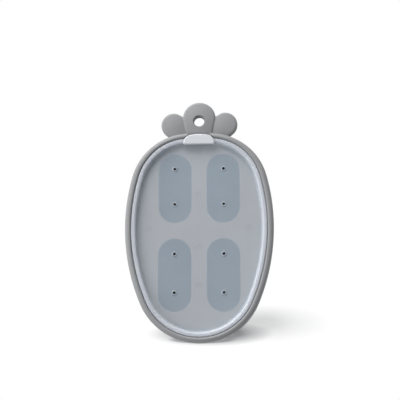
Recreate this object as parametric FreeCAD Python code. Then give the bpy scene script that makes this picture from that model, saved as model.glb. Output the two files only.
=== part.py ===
import FreeCAD, Part

import math
import os

from FreeCAD import Vector

# Baby food freezer tray, lying flat as it is filled: +Z out of the lid, +Y towards the leaf crown,
# +X to the right. The origin is at the middle of the bounding box, on the table. All lengths in mm.

# outline of the body, seen from above: six tangent arcs, the same on both sides of X = 0
body_top = 73.5
body_bottom = -100.3
body_half_width = 61.1
crown_radius = 124.0
shoulder_radius = 48.7
flank_radius = 161.0
foot_radius = 52.2

# heights
lid_rim_top = 26.4
tray_rim_top = 27.0
deck_top = 21.0
deck_thickness = 2.2
rim_bottom = 14.0

# tray rim, skirt
rim_width = 4.9
seat_stretch = 0.55  # the rim is this much narrower at its two ends
rim_outer_round = 3.2
rim_inner_round = 1.4
rim_under_round = 1.6
skirt_inset = 1.6
skirt_draft = math.radians(5.0)
skirt_wall = 2.4

# food pods, in two columns and two rows
pod_width = 27.0
pod_column = 20.0
upper_pod = {"middle": 26.6, "length": 57.8}
lower_pod = {"middle": -45.4, "length": 59.6}
pod_floor = 2.0
pod_wall = 1.8
pod_draft = math.radians(5.0)
pod_floor_round = 5.0
pod_lip_round = 0.7

# leaf crown
leaf_bottom = 17.6
centre_lobe_top = 25.3
side_lobe_top = 24.0
centre_lobe_middle = 86.5
centre_lobe_radius = 13.8
centre_lobe_base = Vector(10.9, 71.1, 0)
side_lobe_centre = Vector(21.6, 81.1, 0)
side_lobe_radius = 10.4
side_lobe_base = Vector(24.7, 70.1, 0)
side_lobe_inner = Vector(12.4, 87.6, 0)
side_lobe_inner_angle = math.radians(108.0)
centre_lobe_root = 69.3
side_lobe_root = 66.3
centre_lobe_dome = 56.0
side_lobe_dome = 45.0
centre_lobe_round = 2.4
side_lobe_round = 2.2
leaf_under_round = 1.1

# hanging hole
hole_centre = Vector(0, 83.6, 0)
hole_radius = 4.4
hole_edge_round = 0.9

# lid
lid_gap = 0.2
lid_rim_width = 4.0
lid_wall = 1.2
lid_bottom = 21.3
lid_panel_thickness = 1.2
lid_outer_round = 1.2
lid_inner_round = 1.7
panel_corner_round = 1.6
vent_column = 20.2
vent_rows = (42.9, 13.0, -28.3, -59.9)
vent_radius = 1.2
collar_radius = 2.1
collar_height = 0.5
pin_mark_radius = 2.6
pin_mark_depth = 0.15
pin_marks = ((0, 57.4), (0, 20.7), (0, -23.1), (0, -54.1), (-41.0, -7.2), (41.0, -7.2))

# pull tab, its tongue on the lid and its notch in the tray's rim
tab_inner = 63.1
tab_outer = 71.7
tab_half_width = 12.9
tab_front_radius = 36.0
tab_corner_round = 6.8
tab_inner_round = 1.1
tab_top = 27.6
tab_seat = 25.2
tab_lip_bottom = 24.1
tab_edge_round = 0.9
tongue_half_width = 8.5
tongue_outer = 69.7
notch_floor = 23.2
notch_gap = 0.8
ramp_half_width = 9.5
ramp_outer = 77.8

up = Vector(0, 0, 1)


def arc_centres(stretch):
    """Centres of the crown, shoulder, flank and foot arcs that close the outline with no corner."""
    crown = Vector(0, body_top + stretch - crown_radius, 0)
    foot = Vector(0, body_bottom - stretch + foot_radius, 0)
    flank_x = body_half_width - flank_radius
    flank_rise = math.sqrt((flank_radius - foot_radius) ** 2 - flank_x ** 2)
    flank = Vector(flank_x, foot.y + flank_rise, 0)
    # the shoulder is inside both the crown and the flank arc, tangent to each
    from_crown = crown_radius - shoulder_radius
    from_flank = flank_radius - shoulder_radius
    line = flank - crown
    along = (from_crown ** 2 - from_flank ** 2 + line.Length ** 2) / (2 * line.Length)
    aside = math.sqrt(from_crown ** 2 - along ** 2)
    unit = Vector(line).normalize()
    foot_point = crown + unit * along
    normal = Vector(-unit.y, unit.x, 0)
    options = (foot_point + normal * aside, foot_point - normal * aside)
    shoulder = max(options, key=lambda point: point.x)
    return crown, shoulder, flank, foot


def mirrored(point):
    return Vector(-point.x, point.y, point.z)


def between(centre, radius, start, end):
    """Point of the arc half way between two of its points."""
    middle = (start + end) * 0.5 - centre
    return centre + middle.normalize() * radius


def outline(inset, height, stretch=0):
    """Closed wire that runs the given distance inside the body's outline, or less at the two ends."""
    crown, shoulder, flank, foot = arc_centres(stretch)
    to_shoulder = (shoulder - crown).normalize()
    to_flank = (shoulder - flank).normalize()
    to_foot = (foot - flank).normalize()
    high = crown + to_shoulder * (crown_radius - inset)
    side = flank + to_flank * (flank_radius - inset)
    low = flank + to_foot * (flank_radius - inset)
    crown_point = Vector(0, body_top + stretch - inset, 0)
    foot_point = Vector(0, body_bottom - stretch + inset, 0)
    shoulder_point = between(shoulder, shoulder_radius - inset, high, side)
    flank_point = between(flank, flank_radius - inset, side, low)
    arcs = [
        Part.Arc(mirrored(high), crown_point, high),
        Part.Arc(high, shoulder_point, side),
        Part.Arc(side, flank_point, low),
        Part.Arc(low, foot_point, mirrored(low)),
        Part.Arc(mirrored(low), mirrored(flank_point), mirrored(side)),
        Part.Arc(mirrored(side), mirrored(shoulder_point), mirrored(high)),
    ]
    wire = Part.Wire([arc.toShape() for arc in arcs])
    wire.translate(up * height)
    return wire


def slab(inset, bottom, top, stretch=0):
    """Upright solid on the outline."""
    return Part.Face(outline(inset, bottom, stretch)).extrude(up * (top - bottom))


def seat(inset, bottom, top):
    """Upright solid that the lid's shape follows."""
    return slab(inset, bottom, top, seat_stretch)


def tapered(inset_low, bottom, inset_high, top):
    """Solid between two sizes of the outline."""
    return Part.makeLoft([outline(inset_low, bottom), outline(inset_high, top)], True, True)


def inset_of(point, stretch=0):
    """How far a point lies from the body's outline, seen from above."""
    flat = Part.Vertex(Vector(point.x, point.y, 0))
    return flat.distToShape(outline(0, 0, stretch))[0]


def middle_of(edge):
    return edge.valueAt((edge.FirstParameter + edge.LastParameter) / 2)


def is_level(edge, height):
    box = edge.BoundBox
    return abs(box.ZMin - height) < 1e-3 and abs(box.ZMax - height) < 1e-3


def level_edges(shape, height):
    return [edge for edge in shape.Edges if is_level(edge, height)]


def upright_edges(solid, height):
    return [edge for edge in solid.Edges if abs(edge.BoundBox.ZLength - height) < 1e-6]


def ring_edges(shape, height, inset, stretch=0):
    """Level edges that run at one distance from the outline."""
    edges = level_edges(shape, height)
    return [edge for edge in edges if abs(inset_of(middle_of(edge), stretch) - inset) < 0.05]


def block(x_low, x_high, y_low, y_high, z_low, z_high):
    size = Vector(x_high - x_low, y_high - y_low, z_high - z_low)
    return Part.makeBox(size.x, size.y, size.z, Vector(x_low, y_low, z_low))


# ---- tray

def rim_and_deck():
    """Soft rim round the deck, with every edge rounded."""
    rim = slab(0, rim_bottom, tray_rim_top)
    rim = rim.makeFillet(rim_outer_round, ring_edges(rim, tray_rim_top, 0))
    rim = rim.makeFillet(rim_under_round, ring_edges(rim, rim_bottom, 0))
    rim = rim.cut(seat(rim_width, deck_top, tray_rim_top + 1))
    rim = rim.makeFillet(rim_inner_round, ring_edges(rim, tray_rim_top, rim_width, seat_stretch))
    hollow = slab(skirt_inset + skirt_wall, rim_bottom - 1, deck_top - deck_thickness)
    return rim.cut(hollow)


def skirt():
    """Standing wall under the rim, a little smaller at the table."""
    top = deck_top - deck_thickness
    spread = top * math.tan(skirt_draft)
    outer = tapered(skirt_inset + spread, 0, skirt_inset, top)
    outer = outer.makeFillet(skirt_wall / 3, level_edges(outer, 0))
    inner = tapered(skirt_inset + spread + skirt_wall, -0.01, skirt_inset + skirt_wall, top + 0.01)
    return outer.cut(inner)


def stadium(width, length, height):
    """Closed wire of two half circles and two straight sides, about the origin."""
    radius = width / 2
    straight = length / 2 - radius
    right_top = Vector(radius, straight, height)
    right_low = Vector(radius, -straight, height)
    left_top = Vector(-radius, straight, height)
    left_low = Vector(-radius, -straight, height)
    edges = [
        Part.Arc(right_top, Vector(0, straight + radius, height), left_top).toShape(),
        Part.LineSegment(left_top, left_low).toShape(),
        Part.Arc(left_low, Vector(0, -straight - radius, height), right_low).toShape(),
        Part.LineSegment(right_low, right_top).toShape(),
    ]
    return Part.Wire(edges)


def cup(width, length, bottom, top, floor_round):
    """Drafted stadium with a rounded floor; width and length are those at the deck's top."""
    low = 2 * (deck_top - bottom) * math.tan(pod_draft)
    high = 2 * (deck_top - top) * math.tan(pod_draft)
    wires = [stadium(width - low, length - low, bottom), stadium(width - high, length - high, top)]
    solid = Part.makeLoft(wires, True, True)
    return solid.makeFillet(floor_round, level_edges(solid, bottom))


def pods():
    """Outsides and insides of the four food pods."""
    outsides = []
    insides = []
    for row in (upper_pod, lower_pod):
        for side in (-1, 1):
            place = Vector(side * pod_column, row["middle"], 0)
            outer_width = pod_width + 2 * pod_wall
            outer_length = row["length"] + 2 * pod_wall
            outside = cup(outer_width, outer_length, 0, deck_top - 1, pod_floor_round + pod_wall)
            inside = cup(pod_width, row["length"], pod_floor, deck_top, pod_floor_round)
            outside.translate(place)
            inside.translate(place)
            outsides.append(outside)
            insides.append(inside)
    return outsides, insides


def tangent_point(centre, radius, outside, turn):
    """Where a line from a point outside a circle touches it; turn is 1 or -1 for the side."""
    line = outside - centre
    swing = turn * math.acos(radius / line.Length)
    angle = math.atan2(line.y, line.x) + swing
    return centre + Vector(math.cos(angle), math.sin(angle), 0) * radius


def side_edge(points):
    """Edge through two points, or an arc through three."""
    if len(points) == 3:
        return Part.Arc(*points).toShape()
    return Part.LineSegment(*points).toShape()


def lobe(shown, hidden, middle, top, dome_radius, edge_round):
    """Solid with a domed top; the sides that show have rounded edges, the others end in the body."""
    shown = [side_edge(points) for points in shown]
    hidden = [side_edge(points) for points in hidden]
    solid = Part.Face(Part.Wire(shown + hidden)).extrude(up * (top - leaf_bottom))
    solid.translate(up * leaf_bottom)
    shown_line = Part.Wire(shown)

    def on_shown_side(edge):
        point = middle_of(edge)
        return Part.Vertex(Vector(point.x, point.y, 0)).distToShape(shown_line)[0] < 1e-3

    lower = [edge for edge in level_edges(solid, leaf_bottom) if on_shown_side(edge)]
    solid = solid.makeFillet(leaf_under_round, lower)
    dome = Part.makeSphere(dome_radius)
    dome.rotate(Vector(0, 0, 0), Vector(1, 0, 0), 90)
    dome.translate(middle + up * (top - dome_radius))
    solid = solid.common(dome)
    crest = max(solid.Faces, key=lambda face: face.CenterOfMass.z)
    solid = solid.makeFillet(edge_round, [edge for edge in crest.Edges if on_shown_side(edge)])
    # the root ends inside the rim: nothing of it stands on the lid's seat or hangs under the deck
    above = seat(rim_width, deck_top, tray_rim_top)
    below = slab(skirt_inset + skirt_wall, leaf_bottom - 1, deck_top - deck_thickness)
    return solid.cut(above).cut(below)


def is_hole_wall(face):
    return isinstance(face.Surface, Part.Cylinder) and abs(face.Surface.Radius - hole_radius) < 1e-6


def centre_lobe():
    centre = Vector(0, centre_lobe_middle, 0)
    touch = tangent_point(centre, centre_lobe_radius, centre_lobe_base, 1)
    run = centre_lobe_base - touch
    root = touch + run * ((centre_lobe_root - touch.y) / run.y)
    crown = centre + Vector(0, centre_lobe_radius, 0)
    shown = [(root, touch), (touch, crown, mirrored(touch)), (mirrored(touch), mirrored(root))]
    hidden = [(mirrored(root), root)]
    solid = lobe(shown, hidden, centre, centre_lobe_top, centre_lobe_dome, centre_lobe_round)
    solid = solid.cut(Part.makeCylinder(hole_radius, 2 * centre_lobe_top, hole_centre))
    wall = [face for face in solid.Faces if is_hole_wall(face)]
    rims = [edge for edge in wall[0].Edges if edge.BoundBox.XLength > hole_radius]
    return solid.makeFillet(hole_edge_round, rims)


def side_lobe():
    """Right-hand lobe; the left one is its mirror image."""
    touch = tangent_point(side_lobe_centre, side_lobe_radius, side_lobe_base, 1)
    run = side_lobe_base - touch
    root = touch + run * ((side_lobe_root - touch.y) / run.y)
    turn = Vector(math.cos(side_lobe_inner_angle), math.sin(side_lobe_inner_angle), 0)
    crest = side_lobe_centre + turn * side_lobe_radius
    outermost = between(side_lobe_centre, side_lobe_radius, touch, crest)
    inner_root = Vector(5, side_lobe_root, 0)
    shown = [(root, touch), (touch, outermost, crest), (crest, side_lobe_inner)]
    hidden = [(side_lobe_inner, inner_root), (inner_root, root)]
    return lobe(shown, hidden, side_lobe_centre, side_lobe_top, side_lobe_dome, side_lobe_round)


def notch():
    """Gap in the rim for the pull tab, and the ramp that lets a fingertip under it."""
    gap = tab_outline(notch_floor, tab_top, notch_gap)
    notch_outer = tab_outer + notch_gap
    ramp_points = [
        Vector(-ramp_half_width, notch_outer - 2, notch_floor),
        Vector(-ramp_half_width, notch_outer, notch_floor),
        Vector(-ramp_half_width, ramp_outer, centre_lobe_top),
        Vector(-ramp_half_width, ramp_outer, tab_top),
        Vector(-ramp_half_width, notch_outer - 2, tab_top),
    ]
    ramp_points.append(ramp_points[0])
    ramp = Part.Face(Part.makePolygon(ramp_points)).extrude(Vector(2 * ramp_half_width, 0, 0))
    return gap.fuse(ramp)


def make_tray():
    outsides, insides = pods()
    right = side_lobe()
    left = right.mirror(Vector(0, 0, 0), Vector(1, 0, 0))
    body = rim_and_deck().multiFuse([skirt(), centre_lobe(), right, left] + outsides)
    body = body.cut(notch())
    for inside in insides:
        body = body.cut(inside)
    lips = [edge for edge in level_edges(body, deck_top) if inset_of(middle_of(edge)) > 10]
    body = body.makeFillet(pod_lip_round, lips)
    return body.removeSplitter()


# ---- lid

def lid_ring():
    """Raised rim bead, hollow from below."""
    outer = rim_width + lid_gap
    inner = outer + lid_rim_width
    ring = seat(outer, lid_bottom, lid_rim_top).cut(seat(inner, lid_bottom, lid_rim_top + 1))
    ring = ring.makeFillet(lid_outer_round, ring_edges(ring, lid_rim_top, outer, seat_stretch))
    ring = ring.makeFillet(lid_inner_round, ring_edges(ring, lid_rim_top, inner, seat_stretch))
    channel = seat(outer + lid_wall, lid_bottom - 1, lid_rim_top - lid_wall)
    return ring.cut(channel.cut(seat(inner - lid_wall, lid_bottom - 1, lid_rim_top)))


def lid_panel():
    """Recessed panel, with a rounded corner where it meets the bead."""
    inner = rim_width + lid_gap + lid_rim_width
    panel_top = lid_bottom + lid_panel_thickness
    panel = seat(inner - lid_wall / 2, lid_bottom, panel_top)
    corner = seat(inner - lid_wall / 2, panel_top, panel_top + panel_corner_round)
    scoop = seat(inner, panel_top, panel_top + panel_corner_round + 4)
    scoop = scoop.makeFillet(panel_corner_round, level_edges(scoop, panel_top))
    return panel.fuse(corner.cut(scoop))


def tab_outline(bottom, top, margin):
    """Upright solid with a bowed front and rounded front corners."""
    side = tab_half_width + margin
    radius = tab_front_radius + margin
    outer = tab_outer + margin
    corner = outer - radius + math.sqrt(radius ** 2 - side ** 2)
    corners = ((-side, corner), (-side, tab_inner), (side, tab_inner), (side, corner))
    points = [Vector(x, y, bottom) for x, y in corners]
    sides = [Part.LineSegment(start, end).toShape() for start, end in zip(points, points[1:])]
    bow = Part.Arc(points[-1], Vector(0, outer, bottom), points[0]).toShape()
    solid = Part.Face(Part.Wire(sides + [bow])).extrude(up * (top - bottom))
    upright = upright_edges(solid, top - bottom)
    rounded = [edge for edge in upright if middle_of(edge).y > tab_inner + 1]
    return solid.makeFillet(tab_corner_round + margin, rounded)


def tab_block():
    """Whole outer shape of the pull tab."""
    solid = tab_outline(tab_lip_bottom, tab_top, 0)
    upright = upright_edges(solid, tab_top - tab_lip_bottom)
    inner = [edge for edge in upright if middle_of(edge).y < tab_inner + 0.1]
    solid = solid.makeFillet(tab_inner_round, inner)
    return solid.makeFillet(tab_edge_round, level_edges(solid, tab_top))


def tab_support():
    """The lid's solid pad and tongue, which the tab is moulded on."""
    outer = rim_width + lid_gap
    inner = outer + lid_rim_width
    reach = (-tongue_half_width, tongue_half_width)
    hollow = seat(inner - lid_wall / 2, lid_bottom - 1, tab_seat + 1)
    ring = seat(outer + lid_wall / 2, lid_bottom, tab_seat).cut(hollow)
    pad = ring.common(block(*reach, body_top - inner - 3, tab_outer, 0, tab_seat))
    tongue = block(*reach, body_top - inner + 1, tongue_outer, tab_lip_bottom, tab_seat)
    return pad.fuse(tongue)


def make_lid():
    lid = lid_ring().multiFuse([lid_panel(), tab_support()])
    lid = lid.cut(tab_block().common(block(-tab_outer, tab_outer, 0, tab_outer, tab_seat, tab_top)))
    panel_top = lid_bottom + lid_panel_thickness
    for row in vent_rows:
        for side in (-1, 1):
            place = Vector(side * vent_column, row, panel_top)
            collar = Part.makeCylinder(collar_radius, collar_height, place)
            collar = collar.makeFillet(collar_height * 0.8, level_edges(collar, panel_top + collar_height))
            lid = lid.fuse(collar)
            lid = lid.cut(Part.makeCylinder(vent_radius, 5, place - up * 3))
    # shallow round marks that the mould's ejector pins leave
    for x, y in pin_marks:
        lid = lid.cut(Part.makeCylinder(pin_mark_radius, 1, Vector(x, y, panel_top - pin_mark_depth)))
    return lid.removeSplitter()


def make_pull_tab(lid):
    over_ring = seat(rim_width, tab_lip_bottom - 1, tab_seat)
    tab = tab_block().cut(lid)
    # only the part beyond the bead hangs down as a lip
    tab = tab.cut(over_ring)
    return tab.removeSplitter()


def check_and_save(name, shape):
    solids = shape.Solids
    box = shape.BoundBox
    print(name, "solids", len(solids), "valid", shape.isValid(), "volume", round(shape.Volume),
          "x", round(box.XMin, 2), round(box.XMax, 2), "y", round(box.YMin, 2), round(box.YMax, 2),
          "z", round(box.ZMin, 2), round(box.ZMax, 2))
    solid = solids[0] if len(solids) == 1 else shape
    solid.exportStep("parts/" + name + ".step")


def main():
    os.makedirs("parts", exist_ok=True)
    tray = make_tray()
    lid = make_lid()
    pull_tab = make_pull_tab(lid)
    check_and_save("tray", tray)
    check_and_save("lid", lid)
    check_and_save("lid_pull_tab", pull_tab)
    pairs = (("tray lid", tray, lid), ("tray tab", tray, pull_tab), ("lid tab", lid, pull_tab))
    for name, first, second in pairs:
        overlap = first.common(second).Volume
        print(name, "overlap", round(overlap, 4), "gap", round(first.distToShape(second)[0], 3))


main()
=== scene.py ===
import math

import bpy
from mathutils import Matrix, Vector

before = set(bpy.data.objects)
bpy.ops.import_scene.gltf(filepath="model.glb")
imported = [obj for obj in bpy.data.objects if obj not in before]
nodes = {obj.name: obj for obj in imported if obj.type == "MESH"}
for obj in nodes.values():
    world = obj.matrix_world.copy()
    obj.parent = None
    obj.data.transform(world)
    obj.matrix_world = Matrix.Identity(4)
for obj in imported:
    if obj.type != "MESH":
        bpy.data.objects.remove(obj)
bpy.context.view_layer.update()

mm = 0.001
print("frame is loaded:", ", ".join(sorted(nodes)))


# shader maths: a Wire is one socket, and arithmetic on wires adds Math nodes
class Wire:
    def __init__(self, tree, socket):
        self.tree = tree
        self.socket = socket

    def other(self, name):  # another output of the same node
        return Wire(self.tree, self.socket.node.outputs[name])

    def math(self, operation, *others, clamp=False):
        return self.tree.node("ShaderNodeMath", {"operation": operation, "use_clamp": clamp},
                              [self, *others])

    def __add__(self, other):
        return self.math("ADD", other)

    def __radd__(self, other):
        return self.math("ADD", other)

    def __sub__(self, other):
        return self.math("SUBTRACT", other)

    def __rsub__(self, other):
        return self.tree.node("ShaderNodeMath", {"operation": "SUBTRACT"}, [other, self])

    def __mul__(self, other):
        return self.math("MULTIPLY", other)

    def __rmul__(self, other):
        return self.math("MULTIPLY", other)

    def __truediv__(self, other):
        return self.math("DIVIDE", other)

    def __rtruediv__(self, other):
        return self.tree.node("ShaderNodeMath", {"operation": "DIVIDE"}, [other, self])

    def clamped(self):
        return self.math("ADD", 0.0, clamp=True)


# the node tree of a material or of the world, with one method that adds any node
class Finish:
    def __init__(self, owner):
        self.owner = owner
        owner.use_nodes = True
        self.tree = owner.node_tree
        self.tree.nodes.clear()

    def node(self, kind, settings=None, inputs=None, output=0):
        made = self.tree.nodes.new(kind)
        for key, value in (settings or {}).items():
            setattr(made, key, value)
        pairs = inputs.items() if isinstance(inputs, dict) else enumerate(inputs or [])
        for key, value in pairs:
            if isinstance(value, Wire):
                self.tree.links.new(value.socket, made.inputs[key])
            else:
                made.inputs[key].default_value = value
        return Wire(self, made.outputs[output] if made.outputs else None)

    def place(self):  # where on the object, in metres
        return self.node("ShaderNodeTexCoord", output="Object")

    def noise(self, scale, detail):
        return self.node("ShaderNodeTexNoise", None,
                         {"Vector": self.place(), "Scale": scale, "Detail": detail})

    def bump(self, height, strength, distance):
        return self.node("ShaderNodeBump", None,
                         {"Strength": strength, "Distance": distance, "Height": height})

    def mixColour(self, factor, low, high):
        return self.node("ShaderNodeMix", {"data_type": "RGBA"}, {0: factor, 6: low, 7: high}, output=2)

    def mixShader(self, factor, low, high):
        return self.node("ShaderNodeMixShader", None, {0: factor, 1: low, 2: high})

    def close(self, shader, kind="ShaderNodeOutputMaterial"):
        self.node(kind, None, {"Surface": shader})
        return self.owner


def newFinish(name):
    return Finish(bpy.data.materials.new(name))


def paint(piece, material):
    piece.data.materials.clear()
    piece.data.materials.append(material)


# soft grey silicone
silicone = {
    "colour": (0.300, 0.303, 0.309, 1),
    "dusty": (0.335, 0.338, 0.343, 1),
    # painted shade: dark colour mixed into the pods and the wall of the hanging hole
    "paintedShade": (0.02, 0.02, 0.022, 1),
    "cloudScale": 38.0,
    "cloudDetail": 3.0,
    "dustFrom": 0.35,         # how much of the cloud shows as dust, and how strongly
    "dustShare": 0.8,
    "roughness": 0.52,
    "roughnessSpread": 0.10,
    "sparkScale": 2600.0,     # fine spark-eroded mould texture
    "sparkDetail": 2.0,
    "sparkDepth": 0.00004,
    "sparkStrength": 0.35,
    "specular": 0.35,
    "ior": 1.41,
    "podPaintedShade": 0.22,         # painted shade: share of the silicone colour kept in the pods, which are darkened to look deeper
    "podLip": 20.9 * mm,
    "podPaintedShadeDepth": 0.5 * mm,
    "podReach": 34.6 * mm,    # the pods lie within this distance of the middle line
    "podsMiddle": -9.8 * mm,  # and within this length along it
    "podsHalfLength": 66.4 * mm,
    "podsFade": 1.0 * mm,
    "facing": (12.0, 0.3),    # slope and start of the part of each surface that looks up
    "holeMiddle": 83.6 * mm,
    "holeReach": 5.3 * mm,    # painted shade: the hanging hole darkens from its rounded edge inwards
    "holeEdge": 0.9 * mm,
    "holePaintedShade": 0.55,
}


def siliconeFinish():
    f = newFinish("greySilicone")
    cloud = f.noise(silicone["cloudScale"], silicone["cloudDetail"])
    spark = f.noise(silicone["sparkScale"], silicone["sparkDetail"])
    dust = (cloud - silicone["dustFrom"]).clamped() * silicone["dustShare"]
    tint = f.mixColour(dust, silicone["colour"], silicone["dusty"])

    x = f.node("ShaderNodeSeparateXYZ", None, [f.place()])
    y, z = x.other("Y"), x.other("Z")
    normal = f.node("ShaderNodeSeparateXYZ", None, [f.node("ShaderNodeTexCoord", output="Normal")])
    slope, start = silicone["facing"]
    facing = (normal.other("Z") * slope + start).clamped()
    # painted shade: pod floors and inner walls below the lip darken towards the dark colour
    paintedShade = ((silicone["podLip"] - z) / silicone["podPaintedShadeDepth"]).clamped()
    along = (y - silicone["podsMiddle"]).math("ABSOLUTE")
    beside = ((silicone["podReach"] - x.math("ABSOLUTE")) / silicone["podsFade"]).clamped()
    between = ((silicone["podsHalfLength"] - along) / silicone["podsFade"]).clamped()
    paintedPodShade = paintedShade * facing * beside * between
    tint = f.mixColour(paintedPodShade * (1 - silicone["podPaintedShade"]), tint, silicone["paintedShade"])

    # painted shade: the wall of the hanging hole darkens towards the dark colour
    toHole = y - silicone["holeMiddle"]
    fromHole = (x * x + toHole * toHole).math("SQRT")
    paintedHoleShade = ((silicone["holeReach"] - fromHole) / silicone["holeEdge"]).clamped()
    tint = f.mixColour(paintedHoleShade * (1 - silicone["holePaintedShade"]), tint, silicone["paintedShade"])

    rough = silicone["roughness"] + (cloud - 0.5) * silicone["roughnessSpread"]
    bump = f.bump(spark, silicone["sparkStrength"], silicone["sparkDepth"])
    shader = f.node("ShaderNodeBsdfPrincipled", None,
                    {"Base Color": tint, "Roughness": rough, "Normal": bump,
                     "Specular IOR Level": silicone["specular"], "IOR": silicone["ior"]})
    return f.close(shader)


# frosted lid
lidLook = {
    "milk": (0.728, 0.865, 1.0, 1),
    "beadColour": (0.662, 0.70, 0.766, 1),
    "beadSoftness": 0.002,              # how far light spreads inside the thick bead, in metres
    "through": (1.0, 0.93, 0.87, 1),    # the plastic holds back blue and lets warm light pass
    "panelMilk": 0.39,                  # share of milk where the plastic is thin
    "beadMilk": 0.80,                   # and where the bead and the corners are seen edge on
    "panelMiddle": 21.9 * mm,           # the panel's lower face, under this height, adds no milk
    "middleFade": 0.1 * mm,
    "beadFoot": 22.6 * mm,              # the plastic thickens from this height
    "beadFrom": 24.0 * mm,              # to this one
    "marksBelow": 22.45 * mm,           # the shallow pin marks lie deeper than this
    "marksFade": 0.05 * mm,
    "marksLoss": 0.014,                 # and lose this much milk
    "mottle": 0.08,                     # the frost is never quite even
    "cloudScale": 26.0,
    "cloudDetail": 3.0,
    "roughness": 0.40,
    "roughnessSpread": 0.08,
    "frostScale": 1900.0,
    "frostDetail": 2.0,
    "frostDepth": 0.00002,
    "frostStrength": 0.3,
    "ior": 1.49,
}


def lidFinish():
    f = newFinish("frostedLid")
    height = f.node("ShaderNodeSeparateXYZ", None, [f.place()]).other("Z")
    cloud = f.noise(lidLook["cloudScale"], lidLook["cloudDetail"])
    rise = ((height - lidLook["beadFoot"]) / (lidLook["beadFrom"] - lidLook["beadFoot"])).clamped()
    above = ((height - lidLook["panelMiddle"]) / lidLook["middleFade"]).clamped()
    sunk = ((lidLook["marksBelow"] - height) / lidLook["marksFade"]).clamped()
    milkShare = (lidLook["panelMilk"] + rise * (lidLook["beadMilk"] - lidLook["panelMilk"])
                 - sunk * lidLook["marksLoss"] + (cloud - 0.5) * lidLook["mottle"]) * above

    rough = lidLook["roughness"] + (cloud - 0.5) * lidLook["roughnessSpread"]
    frost = f.noise(lidLook["frostScale"], lidLook["frostDetail"])
    bump = f.bump(frost, lidLook["frostStrength"], lidLook["frostDepth"])
    thin = f.node("ShaderNodeBsdfPrincipled", None,
                  {"Base Color": lidLook["milk"], "Roughness": rough, "IOR": lidLook["ior"],
                   "Normal": bump})
    thick = f.node("ShaderNodeBsdfPrincipled", None,
                   {"Base Color": lidLook["beadColour"], "Roughness": rough, "IOR": lidLook["ior"],
                    "Normal": bump, "Subsurface Weight": 1.0, "Subsurface Radius": (1, 1, 1),
                    "Subsurface Scale": lidLook["beadSoftness"]})
    clear = f.node("ShaderNodeBsdfTransparent", None, {"Color": lidLook["through"]})
    return f.close(f.mixShader(milkShare, clear, f.mixShader(rise, thin, thick)))


# milky pull tab
tabLook = {
    "colour": (0.665, 0.68, 0.71, 1),
    "worn": (0.70, 0.715, 0.74, 1),
    "wornFrom": 0.35,
    "cloudScale": 90.0,
    "cloudDetail": 3.0,
    "milkiness": 0.6,
    "softness": 0.0015,                 # how far light spreads inside, in metres
    "roughness": 0.38,
    "roughnessSpread": 0.08,
    "ior": 1.49,
}


def tabFinish():
    f = newFinish("tabPlastic")
    cloud = f.noise(tabLook["cloudScale"], tabLook["cloudDetail"])
    tint = f.mixColour((cloud - tabLook["wornFrom"]).clamped(), tabLook["colour"], tabLook["worn"])
    rough = tabLook["roughness"] + (cloud - 0.5) * tabLook["roughnessSpread"]
    shader = f.node("ShaderNodeBsdfPrincipled", None,
                    {"Base Color": tint, "Roughness": rough, "IOR": tabLook["ior"],
                     "Subsurface Weight": tabLook["milkiness"], "Subsurface Radius": (1, 1, 1),
                     "Subsurface Scale": tabLook["softness"]})
    return f.close(shader)


paint(nodes["tray"], siliconeFinish())
paint(nodes["lid"], lidFinish())
paint(nodes["lid_pull_tab"], tabFinish())
print("finishes are on")


# camera: it looks down on the tray, tilted a little to the right and more to the lower end
view = {
    "target": Vector((1.05, 15.47, 27.5)) * mm,
    "distance": 737.2 * mm,
    "sideTilt": 4.07,
    "endTilt": 11.64,
    "lens": 81.0,
    "sensor": 36.0,
    "nearest": 0.01,
}


def placeCamera():
    camera = bpy.data.objects.new("camera", bpy.data.cameras.new("camera"))
    bpy.context.scene.collection.objects.link(camera)
    camera.data.lens = view["lens"]
    camera.data.sensor_width = view["sensor"]
    camera.data.clip_start = view["nearest"]
    side = math.tan(math.radians(view["sideTilt"]))
    end = math.tan(math.radians(view["endTilt"]))
    out = Vector((side, -end, 1)).normalized()
    right = Vector((0, 1, 0)).cross(out).normalized()
    upward = out.cross(right)
    turn = Matrix((right, upward, out)).transposed().to_4x4()
    camera.matrix_world = Matrix.Translation(view["target"] + out * view["distance"]) @ turn
    bpy.context.scene.camera = camera


placeCamera()
print("camera is placed")


# floor, backdrop and light
studio = {
    "floorColour": (0.80, 0.80, 0.81, 1),
    "floorSize": 6.0,
    "floorDrop": 0.2 * mm,              # clears the tray's foot
    # the camera sees the paper plain white, but for four spots where the shadow shows: middle, reach,
    # how much wider towards the leaf end, ramp in reaches, share of white kept in the middle
    "wedge": ((52.7 * mm, -83.3 * mm), (18.9 * mm, 5.25 * mm), 0.0, (0.72, 2.87), 0.56),
    "contact": ((7.4 * mm, -91.5 * mm), (72.1 * mm, 14.2 * mm), 0.0, (0.35, 0.73), 0.0),
    "edge": ((0.9 * mm, -96.3 * mm), (33.0 * mm, 3.9 * mm), 0.0, (0.68, 0.88), 0.0),
    "under": ((0.0, -11.0 * mm), (59.0 * mm, 84.5 * mm), 4.0 * mm, (0.97, 1.04), 0.0),
    "white": (1, 1, 1, 1),
    "worldColour": (0.95, 0.97, 1.0, 1),
    "worldStrength": 0.375,
    # power, size, degrees round from the leaf end towards the left, degrees above the floor
    "keyLamp": (68.0, 2.2, 22.0, 24.0),
    "fillLamp": (27.0, 1.7, 105.0, 24.0),
    "lampDistance": 2.4,
}


def backdropShare(f):  # 1 where the camera, a reflection or clear plastic looks at the backdrop
    path = f.node("ShaderNodeLightPath", output="Is Camera Ray")
    return (path + path.other("Is Glossy Ray") + path.other("Is Transmission Ray")).clamped()


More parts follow.
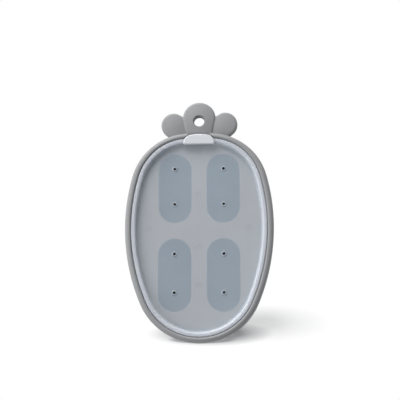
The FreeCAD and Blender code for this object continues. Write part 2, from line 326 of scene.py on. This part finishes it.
def shadowSpot(f, x, name):
    middle, reach, wider, ramp, kept = studio[name]
    ahead = (x.other("Y") - middle[1]) / reach[1]
    right = (x - middle[0]) / (ahead * wider + reach[0])
    away = (right * right + ahead * ahead).math("SQRT")
    return f.node("ShaderNodeMapRange", None,
                  {"Value": away, "From Min": ramp[0], "From Max": ramp[1], "To Min": kept})


def makeFloor():
    bpy.ops.mesh.primitive_plane_add(size=studio["floorSize"], location=(0, 0, -studio["floorDrop"]))
    floor = bpy.context.object
    floor.name = "floor"
    f = newFinish("floorPaper")
    x = f.node("ShaderNodeSeparateXYZ", None, [f.place()])
    clear = backdropShare(f)
    for name in ("wedge", "contact", "edge", "under"):
        clear = clear * shadowSpot(f, x, name)
    paper = f.node("ShaderNodeBsdfDiffuse", None, {"Color": studio["floorColour"]})
    white = f.node("ShaderNodeEmission", None, {"Color": studio["white"], "Strength": 1.0})
    paint(floor, f.close(f.mixShader(clear, paper, white)))


def makeWorld():
    f = Finish(bpy.data.worlds.new("studioWorld"))
    soft = f.node("ShaderNodeBackground", None,
                  {"Color": studio["worldColour"], "Strength": studio["worldStrength"]})
    white = f.node("ShaderNodeBackground", None, {"Color": studio["white"], "Strength": 1.0})
    both = f.mixShader(backdropShare(f), soft, white)
    bpy.context.scene.world = f.close(both, "ShaderNodeOutputWorld")


def makeLamp(name):
    power, size, turn, rise = studio[name]
    lamp = bpy.data.lights.new(name, "AREA")
    lamp.shape = "DISK"
    lamp.size = size
    lamp.energy = power
    placed = bpy.data.objects.new(name, lamp)
    bpy.context.scene.collection.objects.link(placed)
    turn = math.radians(turn)
    rise = math.radians(rise)
    out = Vector((-math.sin(turn) * math.cos(rise), math.cos(turn) * math.cos(rise), math.sin(rise)))
    placed.location = out * studio["lampDistance"]
    placed.rotation_euler = out.to_track_quat("Z", "Y").to_euler()


makeFloor()
makeWorld()
makeLamp("keyLamp")
makeLamp("fillLamp")
bpy.context.scene.view_settings.view_transform = "Standard"
print("studio is lit")
